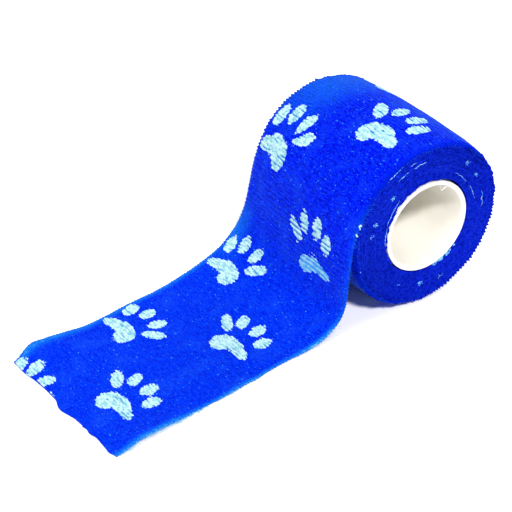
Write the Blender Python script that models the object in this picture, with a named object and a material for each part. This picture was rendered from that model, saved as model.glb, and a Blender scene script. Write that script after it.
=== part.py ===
"""Cohesive bandage roll, 5 cm wide, lying on its side with its loose end let down in front.

Units are metres, +Z up. The roll's axis runs along X and the loose end leaves towards -Y. The origin
is the middle of the small flat spot on which the wound roll rests, straight below its axis. Three
solids: the wound roll, the loose end and the plastic core.
"""

from math import cos, pi, radians, sin

import bpy
import bmesh
import numpy as np
from mathutils import Vector

MM = 0.001

# The strip and its winding
STRIP_WIDTH = 50.0 * MM
TURN_PITCH = 0.57 * MM           # growth of the radius over one turn
SHEET_THICKNESS = 1.0 * MM       # of the loose end
CLEARANCE = 0.3 * MM             # between pieces that touch

# The wound roll, measured at its last turn
AXIS_HEIGHT = 25.15 * MM
CROWN_RADIUS = 25.75 * MM        # at mid-width
RIM_RADIUS = 24.3 * MM           # at both side edges
CROWN_POWER = 2.5                # how flat the crown is across the middle
SHOULDER_ROUND = 1.2 * MM
BORE_ROUND = 0.5 * MM
LEAVING_ANGLE = radians(51.0)    # from the top towards -Y, where the loose end begins
TUCK_HOLD = radians(30.0)        # the tuck keeps its full depth over this angle
TUCK_FADE = radians(60.0)        # and is gone after this further angle

# The core tube
CORE_RADIUS = 13.63 * MM
CORE_WALL = 1.35 * MM
CORE_LENGTH = 50.0 * MM
CORE_EDGE_ROUND = 0.4 * MM

# The loose end
LOOSE_LENGTH = 110.0 * MM
DRIFT_START = 45.0 * MM          # from here on the strip runs aside as well as forward
DRIFT_SLOPE = 0.113              # sideways run for each length forward
DRIFT_EASE = 6.0 * MM
CROWN_FADE = 60.0 * MM           # length over which the roll's crown leaves the sheet
CUT_WAVE = 0.35 * MM
CUT_WAVES = 2.2                  # waves of the cut across the strip's width
CORNER_REACH = 1.0 * MM          # the far corner of the cut runs out this much further
CORNER_WIDTH = 12.0 * MM

# Mesh density
ROLL_STEPS = 72
SHEET_STEPS = 60
SHEET_COLUMNS = 16
CORE_STEPS = 48
ARC_STEPS = 2
CROWN_STEPS = 8
CURVE_STEPS = 400

# How each side edge of the loose end comes down: a Bezier curve from the roll to the surface.
# side (-1 is the far edge at -X), reach of the touchdown, handle at the roll, handle on the surface
SIDE_CURVES = (
    {"side": -1, "reach": 62.4 * MM, "roll_handle": 18.5 * MM, "floor_handle": 44.1 * MM},
    {"side": +1, "reach": 48.3 * MM, "roll_handle": 27.3 * MM, "floor_handle": 33.5 * MM},
)

# Where the flat stretch lifts off the surface: a soft hump along each side edge near the cut.
# side, height, distance of the peak before the cut, rise and fall lengths, width inwards
LIFTS = (
    {"side": -1, "height": 2.8 * MM, "back": 7.0 * MM,
     "rise": 19.0 * MM, "fall": 9.0 * MM, "width": 19.0 * MM},
    {"side": +1, "height": 1.4 * MM, "back": 8.0 * MM,
     "rise": 18.0 * MM, "fall": 11.0 * MM, "width": 12.0 * MM},
)

# End-face relief of the wound roll: turns that stand out or back, from the bore to the rim.
# share of the way from bore to rim, offset along the axis
FACE_STEPS = (
    {"share": 0.14, "offset": -0.25 * MM},
    {"share": 0.34, "offset": 0.05 * MM},
    {"share": 0.44, "offset": 0.30 * MM},
    {"share": 0.52, "offset": 0.0},
    {"share": 0.74, "offset": 0.15 * MM},
    {"share": 0.88, "offset": 0.0},
)

BLUE = (0.0, 0.035, 0.85, 1.0)
WHITE = (0.9, 0.89, 0.85, 1.0)


def clear_scene():
    """Remove every object that is in the file."""
    for obj in list(bpy.data.objects):
        bpy.data.objects.remove(obj, do_unlink=True)


def make_material(name, colour, roughness):
    """Return a Principled material of one colour."""
    material = bpy.data.materials.new(name)
    material.use_nodes = True
    shader = material.node_tree.nodes["Principled BSDF"]
    shader.inputs["Base Color"].default_value = colour
    shader.inputs["Roughness"].default_value = roughness
    shader.inputs["Metallic"].default_value = 0.0
    return material


def ease(value):
    """Smooth step from 0 to 1, for numbers and arrays."""
    t = np.clip(value, 0.0, 1.0)
    return t * t * (3.0 - 2.0 * t)


def crown_radius(x):
    """Radius of the last turn at a place across the width: widest in the middle."""
    share = np.abs(2.0 * np.asarray(x) / STRIP_WIDTH)
    return RIM_RADIUS + (CROWN_RADIUS - RIM_RADIUS) * (1.0 - np.minimum(share, 1.0) ** CROWN_POWER)


def tuck_depth(wound):
    """How far the surface lies inside the last turn, at an angle past the leaving line.

    The spiral itself grows by one pitch in a turn. Under the loose end the solid draws in further,
    so that the sheet and its clearance fit flush with the last turn.
    """
    spiral = TURN_PITCH * (1.0 - wound / (2.0 * pi))
    extra = SHEET_THICKNESS + CLEARANCE - TURN_PITCH
    return spiral + extra * (1.0 - ease((wound - TUCK_HOLD) / TUCK_FADE))


def mesh_object(name, bm, material):
    """Turn a bmesh into a smooth-shaded object with its material."""
    mesh = bpy.data.meshes.new(name)
    bm.to_mesh(mesh)
    bm.free()
    mesh.materials.append(material)
    mesh.shade_smooth()
    mesh.set_sharp_from_angle(angle=radians(40.0))
    obj = bpy.data.objects.new(name, mesh)
    bpy.context.scene.collection.objects.link(obj)
    return obj


def skin_rings(rings):
    """Join closed rings of points into one closed ring-shaped body, faces pointing out."""
    bm = bmesh.new()
    loops = [[bm.verts.new(point) for point in ring] for ring in rings]
    count = len(loops[0])
    for here, there in zip(loops, loops[1:] + loops[:1]):
        for i in range(count):
            j = (i + 1) % count
            bm.faces.new((here[i], here[j], there[j], there[i]))
    bmesh.ops.recalc_face_normals(bm, faces=bm.faces)
    return bm


def quarter_arc(centre_x, centre_r, radius, start):
    """Points (x, r) of a quarter turn that begins at the start angle, both ends left out."""
    angles = [start + (pi / 2.0) * (i + 1) / (ARC_STEPS + 1) for i in range(ARC_STEPS)]
    return [(centre_x + radius * sin(a), centre_r + radius * cos(a)) for a in angles]


def roll_outline(wound):
    """Closed outline (x, r) of the wound roll's section at an angle past the leaving line."""
    half = STRIP_WIDTH / 2.0
    bore = CORE_RADIUS + CLEARANCE
    depth = tuck_depth(wound)
    inner = half - SHOULDER_ROUND
    rim = crown_radius(inner) - depth
    top = [(x, crown_radius(x) - depth) for x in np.linspace(-inner, inner, CROWN_STEPS + 1)]
    shoulder = quarter_arc(inner, rim - SHOULDER_ROUND, SHOULDER_ROUND, 0.0)
    face_top = rim - SHOULDER_ROUND
    face_bottom = bore + BORE_ROUND
    face = [(half, face_top)]
    for step in reversed(FACE_STEPS):
        radius = face_bottom + (face_top - face_bottom) * step["share"]
        face.append((half + step["offset"], radius))
    face.append((half, face_bottom))
    bore_round = quarter_arc(half - BORE_ROUND, bore + BORE_ROUND, BORE_ROUND, pi / 2.0)
    right = shoulder + face + bore_round + [(half - BORE_ROUND, bore)]
    left = [(-x, r) for x, r in reversed(right)]
    return top + right + [(0.0, bore)] + left


def on_roll(x, radius, angle):
    """World point at a place along the axis, a radius and an angle from the top towards -Y."""
    height = max(AXIS_HEIGHT + radius * cos(angle), 0.0)
    return Vector((x, -radius * sin(angle), height))


def build_wound_roll(material):
    """The wound form: sections round the axis, from under the loose end back to its leaving line."""
    full_turn = 2.0 * pi - CLEARANCE / CROWN_RADIUS
    rings = []
    for wound in np.linspace(0.0, full_turn, ROLL_STEPS + 1):
        angle = LEAVING_ANGLE + wound
        rings.append([on_roll(x, radius, angle) for x, radius in roll_outline(wound)])
    return mesh_object("wound_roll", skin_rings(rings), material)


def side_curve(curve):
    """Lengths from the roll and points (y, z) along a side edge of the loose end's upper face."""
    t = np.linspace(0.0, 1.0, CURVE_STEPS)[:, None]
    start = np.array([-RIM_RADIUS * sin(LEAVING_ANGLE), AXIS_HEIGHT + RIM_RADIUS * cos(LEAVING_ANGLE)])
    leave = np.array([-cos(LEAVING_ANGLE), -sin(LEAVING_ANGLE)])
    end = np.array([-curve["reach"], SHEET_THICKNESS])
    forward = np.array([-1.0, 0.0])
    first = start + leave * curve["roll_handle"]
    second = end - forward * curve["floor_handle"]
    points = ((1 - t) ** 3 * start + 3 * (1 - t) ** 2 * t * first
              + 3 * (1 - t) * t ** 2 * second + t ** 3 * end)
    along = np.concatenate([[0.0], np.cumsum(np.hypot(*np.diff(points, axis=0).T))])
    flat_run = LOOSE_LENGTH + CORNER_REACH + CUT_WAVE - along[-1]
    points = np.vstack([points, end + forward * flat_run / np.hypot(1.0, DRIFT_SLOPE)])
    along = np.append(along, along[-1] + flat_run)
    return along, points


def lift_height(along, across):
    """How far the flat stretch stands off the surface, from the LIFTS table."""
    height = 0.0
    for lift in LIFTS:
        inward = STRIP_WIDTH / 2.0 - lift["side"] * across
        sideways = 1.0 - ease(inward / lift["width"])
        before = (LOOSE_LENGTH - lift["back"]) - along
        length = lift["rise"] if before > 0.0 else lift["fall"]
        height += lift["height"] * sideways * (1.0 - ease(abs(before) / length))
    return height


def loose_point(along, across, curves):
    """World point of the loose end's upper face."""
    sides = {}
    for side, (lengths, points) in curves.items():
        sides[side] = np.array([np.interp(along, lengths, points[:, k]) for k in (0, 1)])
    share = across / STRIP_WIDTH + 0.5
    y, z = sides[-1] * (1.0 - share) + sides[1] * share
    crown = (crown_radius(across) - RIM_RADIUS) * (1.0 - ease(along / CROWN_FADE))
    outward = LEAVING_ANGLE + ease(along / CROWN_FADE) * (pi / 2.0 - LEAVING_ANGLE)
    y -= crown * sin(outward)
    z += crown * cos(outward)
    run = -y - DRIFT_START
    drift = DRIFT_SLOPE * 0.5 * (run + np.sqrt(run * run + DRIFT_EASE ** 2))
    return Vector((across + drift, y, z + lift_height(along, across)))


def cut_length(across):
    """Length of the strip from the roll to its cut, at a place across the width."""
    wave = CUT_WAVE * sin(2.0 * pi * CUT_WAVES * across / STRIP_WIDTH)
    corner = CORNER_REACH * (1.0 - ease((across + STRIP_WIDTH / 2.0) / CORNER_WIDTH))
    return LOOSE_LENGTH + wave + corner


def build_loose_end(material):
    """The loose end: an open grid on the upper face, given its thickness downwards."""
    curves = {curve["side"]: side_curve(curve) for curve in SIDE_CURVES}
    bm = bmesh.new()
    rows = []
    for share in np.linspace(0.0, 1.0, SHEET_STEPS + 1):
        row = []
        for across in np.linspace(-0.5, 0.5, SHEET_COLUMNS + 1) * STRIP_WIDTH:
            row.append(bm.verts.new(loose_point(share * cut_length(across), across, curves)))
        rows.append(row)
    for here, there in zip(rows, rows[1:]):
        for i in range(SHEET_COLUMNS):
            bm.faces.new((here[i], there[i], there[i + 1], here[i + 1]))
    obj = mesh_object("loose_end", bm, material)
    thickness = obj.modifiers.new("Thickness", "SOLIDIFY")
    thickness.thickness = SHEET_THICKNESS
    thickness.offset = -1.0
    thickness.use_even_offset = True
    return obj


def build_core(material):
    """The core tube: a plain wall with rounded rims, turned about the axis."""
    half = CORE_LENGTH / 2.0
    outer = CORE_RADIUS
    inner = CORE_RADIUS - CORE_WALL
    rim = CORE_EDGE_ROUND
    right = [(half - rim, outer)]
    right += quarter_arc(half - rim, outer - rim, rim, 0.0)
    right += [(half, outer - rim), (half, inner + rim)]
    right += quarter_arc(half - rim, inner + rim, rim, pi / 2.0)
    right += [(half - rim, inner)]
    outline = right + [(-x, r) for x, r in reversed(right)]
    angles = [2.0 * pi * i / CORE_STEPS for i in range(CORE_STEPS)]
    rings = [[on_roll(x, radius, angle) for x, radius in outline] for angle in angles]
    return mesh_object("core", skin_rings(rings), material)


def main():
    """Build the three solids."""
    clear_scene()
    cloth = make_material("blue_bandage", BLUE, 0.9)
    plastic = make_material("white_plastic", WHITE, 0.35)
    build_wound_roll(cloth)
    build_loose_end(cloth)
    build_core(plastic)


main()
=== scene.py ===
"""Dressed model of a cohesive bandage roll lying on its side, its loose end let down in front.

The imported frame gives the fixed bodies. This file dresses them: one strip for the last turn and the
loose end, one spiral strip for the turns below it, the core tube, and the threads and fibres at the
strip's edges, in a plain studio. The frame is in metres with +Z up; the pieces' own sizes are kept
in millimetres and turned to metres when a mesh is made.
"""

import logging
from dataclasses import dataclass
from enum import Enum

import bpy
import numpy as np
from mathutils import Matrix, Vector
from numpy.typing import NDArray


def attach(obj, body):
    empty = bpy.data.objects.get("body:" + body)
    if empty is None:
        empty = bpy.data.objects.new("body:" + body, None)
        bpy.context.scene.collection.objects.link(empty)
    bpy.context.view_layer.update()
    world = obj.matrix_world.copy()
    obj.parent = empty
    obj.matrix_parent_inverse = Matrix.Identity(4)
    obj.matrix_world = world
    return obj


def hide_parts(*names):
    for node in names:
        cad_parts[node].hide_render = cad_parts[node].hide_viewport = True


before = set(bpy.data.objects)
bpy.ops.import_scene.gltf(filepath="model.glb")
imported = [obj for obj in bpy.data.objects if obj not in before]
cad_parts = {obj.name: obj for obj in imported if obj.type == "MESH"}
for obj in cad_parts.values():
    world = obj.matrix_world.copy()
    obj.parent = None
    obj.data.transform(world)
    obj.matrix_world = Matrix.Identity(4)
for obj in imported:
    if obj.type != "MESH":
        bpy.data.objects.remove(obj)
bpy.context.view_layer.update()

Array = NDArray[np.float64]
Pair = tuple[float, float]
Triple = tuple[float, float, float]
Quad = tuple[float, float, float, float]
Rgb = Triple
Faces = list[list[int]]

LOG = logging.getLogger("bandage_roll")
MM = 0.001
FULL_TURN = 2.0 * np.pi
HASH_STEPS = (374761393, 668265263, 1442695041)
HASH_MIX = 1274126177
LOW_32_BITS = 0xFFFFFFFF
LOW_16_BITS = 0xFFFF


class Held(Enum):
    FOLDED = "folded"
    LAID = "laid"


class Side(Enum):
    """A side of the strip: its far edge at -X or its near edge at +X."""

    FAR = -1
    NEAR = 1


# ---- numbers on arrays


def ease(value: Array) -> Array:
    """Smooth step: 3t^2 - 2t^3, with t the value held between 0 and 1."""
    t = np.clip(value, 0.0, 1.0)
    return t * t * (3.0 - 2.0 * t)


def lattice_noise(p: Array, q: Array | float, seed: int) -> Array:
    """Smooth noise: each whole-number corner has a fixed value, eased between the four corners.

    Args:
        p: First coordinate, in cells.
        q: Second coordinate, in cells.
        seed: Whole number that chooses the pattern.

    Returns:
        Numbers from -1 to 1, of the coordinates' common shape.
    """
    p, q = np.broadcast_arrays(np.asarray(p, float), np.asarray(q, float))
    i, j = np.floor(p).astype(np.int64), np.floor(q).astype(np.int64)
    f, g = ease(p - i), ease(q - j)

    def corner(a: NDArray[np.int64], b: NDArray[np.int64]) -> Array:
        """Value of a corner: its numbers and the seed multiplied and shifted into 16 mixed bits.

        Args:
            a: The corner's first number.
            b: Its second number.

        Returns:
            A number from -1 to 1.
        """
        mixed = (a * HASH_STEPS[0] + b * HASH_STEPS[1] + seed * HASH_STEPS[2]) & LOW_32_BITS
        mixed = ((mixed ^ (mixed >> 13)) * HASH_MIX) & LOW_32_BITS
        return ((mixed ^ (mixed >> 16)) & LOW_16_BITS) / (LOW_16_BITS / 2.0) - 1.0

    low = corner(i, j) * (1.0 - f) + corner(i + 1, j) * f
    high = corner(i, j + 1) * (1.0 - f) + corner(i + 1, j + 1) * f
    return low * (1.0 - g) + high * g


@dataclass(frozen=True)
class Rise:
    """An eased rise from 0 to 1: where it starts and how far it takes."""

    start: float
    length: float

    def at(self, value: Array) -> Array:
        """Smooth step of the way gone from the start."""
        return ease((value - self.start) / self.length)


@dataclass(frozen=True)
class Hump:
    """An eased hump from 0 to 1 and back: its middle and its reach to either side."""

    middle: float
    reach: float

    def at(self, value: Array) -> Array:
        """Smooth step of one less the distance from the middle, in reaches."""
        return ease(1.0 - np.abs(value - self.middle) / self.reach)


@dataclass(frozen=True)
class Patch:
    """An oval patch of the strip in mm: its middle along and across, and its half sizes."""

    along: float
    across: float
    length: float
    width: float

    def distance(self, along: Array, across: Array) -> Array:
        """Distance from the middle in half sizes: the root of the summed squares."""
        return np.hypot((along - self.along) / self.length, (across - self.across) / self.width)


@dataclass(frozen=True)
class Noise:
    """Smooth noise on the strip: its strength, its cells' length and width in mm, and its seed."""

    strength: float
    length: float
    width: float
    seed: int

    def at(self, along: Array, across: Array | float) -> Array:
        """Noise at a place, from minus to plus its strength."""
        return self.strength * lattice_noise(along / self.length, across / self.width, self.seed)


# ---- the strip's course


@dataclass(frozen=True)
class SideCurve:
    """How one side edge comes down: a Bezier curve from the roll to the surface, in mm."""

    reach: float
    roll_handle: float
    floor_handle: float


@dataclass(frozen=True)
class Lift:
    """A soft hump along one side edge near the cut, in mm."""

    side: Side
    height: float
    back: float
    rise: float
    fall: float
    width: float


@dataclass(frozen=True)
class StripCourse:
    """Course of the whole strip in mm: wound on the core, off the roll, down and out to the cut.

    A place on it is (along, across): along is 0 where the strip leaves the roll, negative back over
    the turns and positive towards the cut; across runs from the far edge to the near edge.
    """

    half_width: float = 25.0
    axis_height: float = 25.15
    flat_spot_gap: float = 0.02
    crown_radius: float = 25.75
    rim_radius: float = 24.6
    crown_power: float = 3.0
    shoulder_width: float = 1.5
    shoulder_drop: float = 0.45
    turn_radius: float = 25.0
    edge_radius: float = 24.3
    leaving: float = float(np.radians(51.0))
    bore_radius: float = 13.93
    turns: float = 20.0
    wound_thickness: float = 0.44
    loose_thickness: float = 0.72
    floor_top: float = 0.82
    loose_length: float = 110.0
    curve_points: int = 400
    drift_start: float = 45.0
    drift_slope: float = 0.113
    drift_ease: float = 6.0
    crown_fade: Rise = Rise(0.0, 60.0)
    cut_wave: float = 0.35
    cut_waves: float = 2.2
    corner_reach: float = 1.0
    corner_rise: Rise = Rise(-25.0, 12.0)
    cut_bulges: tuple[tuple[Hump, float], ...] = (
        (Hump(-13.0, 3.5), -0.2),
        (Hump(-1.0, 6.5), 1.3),
        (Hump(12.0, 5.0), 0.4),
        (Hump(20.5, 3.5), 0.8),
        (Hump(25.0, 2.0), -0.3),
    )
    stretch: float = 1.19
    stretch_end: float = 27.0
    stretch_ease: float = 8.0
    far_curve: SideCurve = SideCurve(62.4, 18.5, 44.1)
    near_curve: SideCurve = SideCurve(48.3, 27.3, 33.5)
    lifts: tuple[Lift, ...] = (
        Lift(Side.FAR, 2.8, 7.0, 19.0, 9.0, 19.0),
        Lift(Side.NEAR, 1.4, 8.0, 18.0, 7.8, 12.0),
    )
    normal_step: float = 0.05

    @property
    def turn_length(self) -> float:
        """Length along the strip that one whole turn takes."""
        return FULL_TURN * self.turn_radius

    @property
    def inside(self) -> float:
        """Radius of the innermost turn's outer face."""
        return self.bore_radius + self.wound_thickness

    def round_axis(self, x: Array, radius: Array, angle: Array) -> Array:
        """Points (x, -r sin a, axis + r cos a): a is the clock angle from the top towards -Y."""
        y, z = -radius * np.sin(angle), self.axis_height + radius * np.cos(angle)
        return np.stack(np.broadcast_arrays(x, y, z), -1)

    def crown(self, across: Array) -> Array:
        """Radius of the last turn: a bulge that falls off by a power of the width, then a shoulder.

        Args:
            across: Place across the strip.

        Returns:
            Radius in mm.
        """
        share = np.minimum(np.abs(across / self.half_width), 1.0)
        bulge = (self.crown_radius - self.rim_radius) * (1.0 - share**self.crown_power)
        past = np.abs(across) - (self.half_width - self.shoulder_width)
        shoulder = self.shoulder_drop * np.maximum(past / self.shoulder_width, 0.0) ** 2
        return self.rim_radius + bulge - shoulder

    def relaxed(self, along: Array) -> Array:
        """Relaxed length: the strip is stretched on the roll and relaxed beyond it, eased between.

        Args:
            along: Place along the strip.

        Returns:
            Length on the relaxed strip, in mm, with the same zero beyond the stretched part.
        """
        back = self.stretch_end - along
        stretched = 0.5 * (back + np.sqrt(back * back + self.stretch_ease**2))
        return along + stretched * (1.0 - 1.0 / self.stretch)

    def wound_point(self, along: Array, across: Array) -> Array:
        """Point on the roll: a spiral whose radius grows evenly from the bore to the crown.

        The flat spot below presses every turn in by the same share of its way out from the bore.

        Args:
            along: Place along the strip, at most 0.
            across: Place across it.

        Returns:
            Points of the strip's outer face, in mm.
        """
        wound = along / self.turn_radius
        angle = self.leaving + wound
        below = np.maximum(-np.cos(angle), 1e-6)
        flat = (self.axis_height - self.flat_spot_gap) / below
        outside = np.minimum(self.crown(across), flat)
        way_out = 1.0 + wound / (FULL_TURN * self.turns)
        return self.round_axis(across, self.inside + (outside - self.inside) * way_out, angle)

    def edge_course(self, curve: SideCurve) -> tuple[Array, Array]:
        """Course of a side edge: a cubic Bezier curve, then a straight run along the surface.

        Args:
            curve: The edge's reach and handles.

        Returns:
            Lengths from the roll, and points (y, z).
        """
        t = np.linspace(0.0, 1.0, self.curve_points)[:, None]
        sine, cosine = np.sin(self.leaving), np.cos(self.leaving)
        start = np.array([-self.edge_radius * sine, self.axis_height + self.edge_radius * cosine])
        end = np.array([-curve.reach, self.floor_top])
        first = start + np.array([-cosine, -sine]) * curve.roll_handle
        second = end + np.array([curve.floor_handle, 0.0])
        ends = (1 - t) ** 3 * start + 3 * (1 - t) ** 2 * t * first
        points = ends + 3 * (1 - t) * t**2 * second + t**3 * end
        along = np.concatenate([[0.0], np.cumsum(np.hypot(*np.diff(points, axis=0).T))])
        run = 2.0 * self.loose_length - along[-1]
        last = end + np.array([-run / np.hypot(1.0, self.drift_slope), 0.0])
        return np.append(along, along[-1] + run), np.vstack([points, last])

    def lift_height(self, along: Array, across: Array) -> Array:
        """Height of the humps: each an eased bump along the strip, eased inwards from its edge.

        Args:
            along: Place along the strip.
            across: Place across it.

        Returns:
            Height in mm.
        """
        height = np.zeros(np.broadcast(along, across).shape)
        for lift in self.lifts:
            inward = self.half_width - lift.side.value * across
            before = (self.loose_length - lift.back) - along
            length = np.where(before > 0.0, lift.rise, lift.fall)
            sideways = 1.0 - ease(inward / lift.width)
            height = height + lift.height * sideways * (1.0 - ease(np.abs(before) / length))
        return height

    def loose_point(self, along: Array, across: Array) -> Array:
        """Point of the loose end: a blend of its two edges' courses, crowned, drifting and lifted.

        Args:
            along: Place along the strip, from 0.
            across: Place across it.

        Returns:
            Points of the strip's upper face, in mm.
        """
        share = across / (2.0 * self.half_width) + 0.5
        far_length, far = self.edge_course(self.far_curve)
        near_length, near = self.edge_course(self.near_curve)
        y, z = (
            np.interp(along, far_length, far[:, k]) * (1.0 - share)
            + np.interp(along, near_length, near[:, k]) * share
            for k in (0, 1)
        )
        fade = self.crown_fade.at(along)
        crown = (self.crown(across) - self.edge_radius) * (1.0 - fade)
        outward = self.leaving + fade * (np.pi / 2.0 - self.leaving)
        y = y - crown * np.sin(outward)
        z = z + crown * np.cos(outward)
        run = -y - self.drift_start
        drift = self.drift_slope * 0.5 * (run + np.sqrt(run * run + self.drift_ease**2))
        return np.stack([across + drift, y, z + self.lift_height(along, across)], -1)

    def point(self, along: Array, across: Array) -> Array:
        """Point of the strip's outer face anywhere: on the roll before 0 and loose from there.

        Args:
            along: Place along the strip.
            across: Place across it.

        Returns:
            Points in mm.
        """
        along, across = np.broadcast_arrays(along, across)
        wound = self.wound_point(np.minimum(along, 0.0), across)
        loose = self.loose_point(np.maximum(along, 0.0), across)
        return np.where((along < 0.0)[..., None], wound, loose)

    def outward(self, along: Array, across: Array) -> Array:
        """Unit outward direction: the cross product of the steps along and across the face.

        Args:
            along: Place along the strip.
            across: Place across it.

        Returns:
            Unit vectors.
        """
        step = self.normal_step
        forward = self.point(along + step, across) - self.point(along - step, across)
        sideways = self.point(along, across + step) - self.point(along, across - step)
        return unit(np.cross(forward, sideways))

    def cut_length(self, across: Array) -> Array:
        """Length to the cut: a slow wave, a far corner that runs out, and rounded bulges.

        Args:
            across: Place across the strip.

        Returns:
            Length from the roll, in mm.
        """
        wave = self.cut_wave * np.sin(np.pi * self.cut_waves * across / self.half_width)
        corner = self.corner_reach * (1.0 - self.corner_rise.at(across))
        bulges = sum(reach * hump.at(across) for hump, reach in self.cut_bulges)
        return self.loose_length + wave + corner + bulges


def unit(vectors: Array) -> Array:
    """Vectors divided by their lengths."""
    return vectors / np.linalg.norm(vectors, axis=-1, keepdims=True)


# ---- the printed motif


@dataclass(frozen=True)
class Oval:
    """An oval of the motif in mm: forward and sideways place, half sizes, and lean in degrees."""

    forward: float
    sideways: float
    half_length: float
    half_width: float
    lean: float

    def depth(self, forward: Array, sideways: Array) -> Array:
        """Depth inside the oval: one less the scaled distance, times its mean half size.

        Args:
            forward: Places ahead of the motif's middle.
            sideways: Places beside it.

        Returns:
            Depth in mm, negative outside.
        """
        a, b = forward - self.forward, sideways - self.sideways
        lean = np.radians(self.lean)
        length = a * np.cos(lean) + b * np.sin(lean)
        width = b * np.cos(lean) - a * np.sin(lean)
        scaled = np.hypot(length / self.half_length, width / self.half_width)
        return (1.0 - scaled) * np.sqrt(self.half_length * self.half_width)


@dataclass(frozen=True)
class PawRow:
    """A row of paws along the strip and how the cloth's give moved it.

    It has one paw's place on the relaxed strip and the row's handing, then pairs of real and even
    places along the strip, and pairs of place and line across.
    """

    place: float
    handing: float
    given: tuple[Pair, ...]
    line: tuple[Pair, ...]

    def even_place(self, relaxed: Array) -> Array:
        """Place on an evenly stretched strip, read between the given pairs and past them."""
        real, even = np.array(self.given).T
        return relaxed + np.interp(relaxed, real, even - real)

    def middle(self, relaxed: Array) -> Array:
        """The row's line across the strip, read between its pairs."""
        places, across = np.array(self.line).T
        return np.interp(relaxed, places, across)


@dataclass(frozen=True)
class PawPrint:
    """Plain four-toed paws printed in two rows along the strip, half a repeat apart."""

    repeat: float = 36.5
    softness: float = 0.35
    limit: float = 2.0
    pads: tuple[Oval, ...] = (
        Oval(-0.2, 3.0, 3.4, 3.1, 0.0),
        Oval(1.5, -0.6, 2.3, 3.6, -12.0),
        Oval(0.7, -4.1, 1.7, 3.2, -14.0),
    )
    toes: tuple[Oval, ...] = (
        Oval(7.7, -5.2, 2.8, 2.0, -10.0),
        Oval(10.1, -0.5, 2.8, 2.0, 0.0),
        Oval(9.5, 5.3, 2.9, 1.8, 27.0),
        Oval(6.1, 8.5, 3.7, 1.7, 57.0),
    )
    rows: tuple[PawRow, ...] = (
        PawRow(
            place=8.7,
            handing=1.0,
            given=((-12.0, -12.2), (-2.7, -1.4), (2.6, 2.6), (3.9, 4.8), (8.5, 8.5)),
            line=((-12.0, -15.7), (0.0, -15.8), (4.0, -16.4), (118.0, -17.6)),
        ),
        PawRow(
            place=27.0,
            handing=-1.0,
            given=(
                (-34.0, -33.4), (-20.0, -20.0), (-8.3, -9.5), (2.0, 2.0), (14.3, 13.7),
                (20.5, 19.9), (22.9, 22.6), (25.4, 23.3), (30.4, 30.4), (92.0, 92.3), (98.0, 98.0),
            ),
            line=(
                (-10.0, 10.9), (10.0, 9.9), (21.0, 9.8), (25.5, 11.0), (31.0, 10.6),
                (52.0, 9.0), (60.0, 9.4), (88.0, 8.6), (100.0, 8.0),
            ),
        ),
    )

    def joined(self, first: Array, second: Array) -> Array:
        """Joined depth of two shapes: the logarithm of their summed exponentials."""
        return self.softness * np.logaddexp(first / self.softness, second / self.softness)

    def depth(self, relaxed: Array, across: Array) -> Array:
        """Depth inside the print: the deepest of each repeated row's pad and toes.

        Args:
            relaxed: Length on the relaxed strip, in mm.
            across: Place across it.

        Returns:
            Depth in mm, from minus to plus the limit, negative outside.
        """
        depth = np.full(np.broadcast(relaxed, across).shape, -self.limit)
        for row in self.rows:
            place = row.even_place(relaxed) - row.place + self.repeat / 2.0
            forward = self.repeat / 2.0 - place % self.repeat
            sideways = (across - row.middle(relaxed)) * row.handing
            heel, middle, side = (oval.depth(forward, sideways) for oval in self.pads)
            depth = np.maximum(depth, self.joined(self.joined(heel, middle), side))
            for toe in self.toes:
                depth = np.maximum(depth, toe.depth(forward, sideways))
        return np.minimum(depth, self.limit)


# ---- shader building


@dataclass(frozen=True)
class Onset:
    """Where a pattern sets in and where it is whole, and its share from there."""

    low: float
    high: float
    share: float = 1.0


@dataclass(frozen=True)
class Fine:
    """A fine noise: its cells for each mm along, across and deep, and its finer layers."""

    cells: Triple
    detail: float
    roughness: float


class Signal:
    """A shader node's output; sums, differences and products with it add Math nodes at its desk."""

    def __init__(self, desk: "NodeDesk", socket: bpy.types.NodeSocket) -> None:
        """Keeps the desk and the output socket."""
        self.desk, self.socket = desk, socket

    def __add__(self, other: "Signal | float") -> "Signal":
        """Sum with a signal or a number."""
        return self.desk.math("ADD", self, other)

    def __sub__(self, other: "Signal | float") -> "Signal":
        """This less a signal or a number."""
        return self.desk.math("SUBTRACT", self, other)

    def __mul__(self, other: "Signal | float") -> "Signal":
        """Product with a signal or a number."""
        return self.desk.math("MULTIPLY", self, other)

    def at_least(self, other: "Signal | float") -> "Signal":
        """The larger of this and another."""
        return self.desk.math("MAXIMUM", self, other)

    def span(self, low: float, high: float, to_low: float = 0.0, to_high: float = 1.0) -> "Signal":
        """Carried from one range to another in a smooth step, and held at the ends.

        Args:
            low: Where the first range begins.
            high: Where the first range ends.
            to_low: Result at low.
            to_high: Result at high.

        Returns:
            The result.
        """
        names = ("Value", "From Min", "From Max", "To Min", "To Max")
        inputs = dict(zip(names, (self, low, high, to_low, to_high)))
        return self.desk.node("MapRange", "Result", inputs, interpolation_type="SMOOTHSTEP")

    def onset(self, onset: Onset) -> "Signal":
        """Share of a pattern: its smooth step times its share."""
        return self.span(onset.low, onset.high) * onset.share


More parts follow.
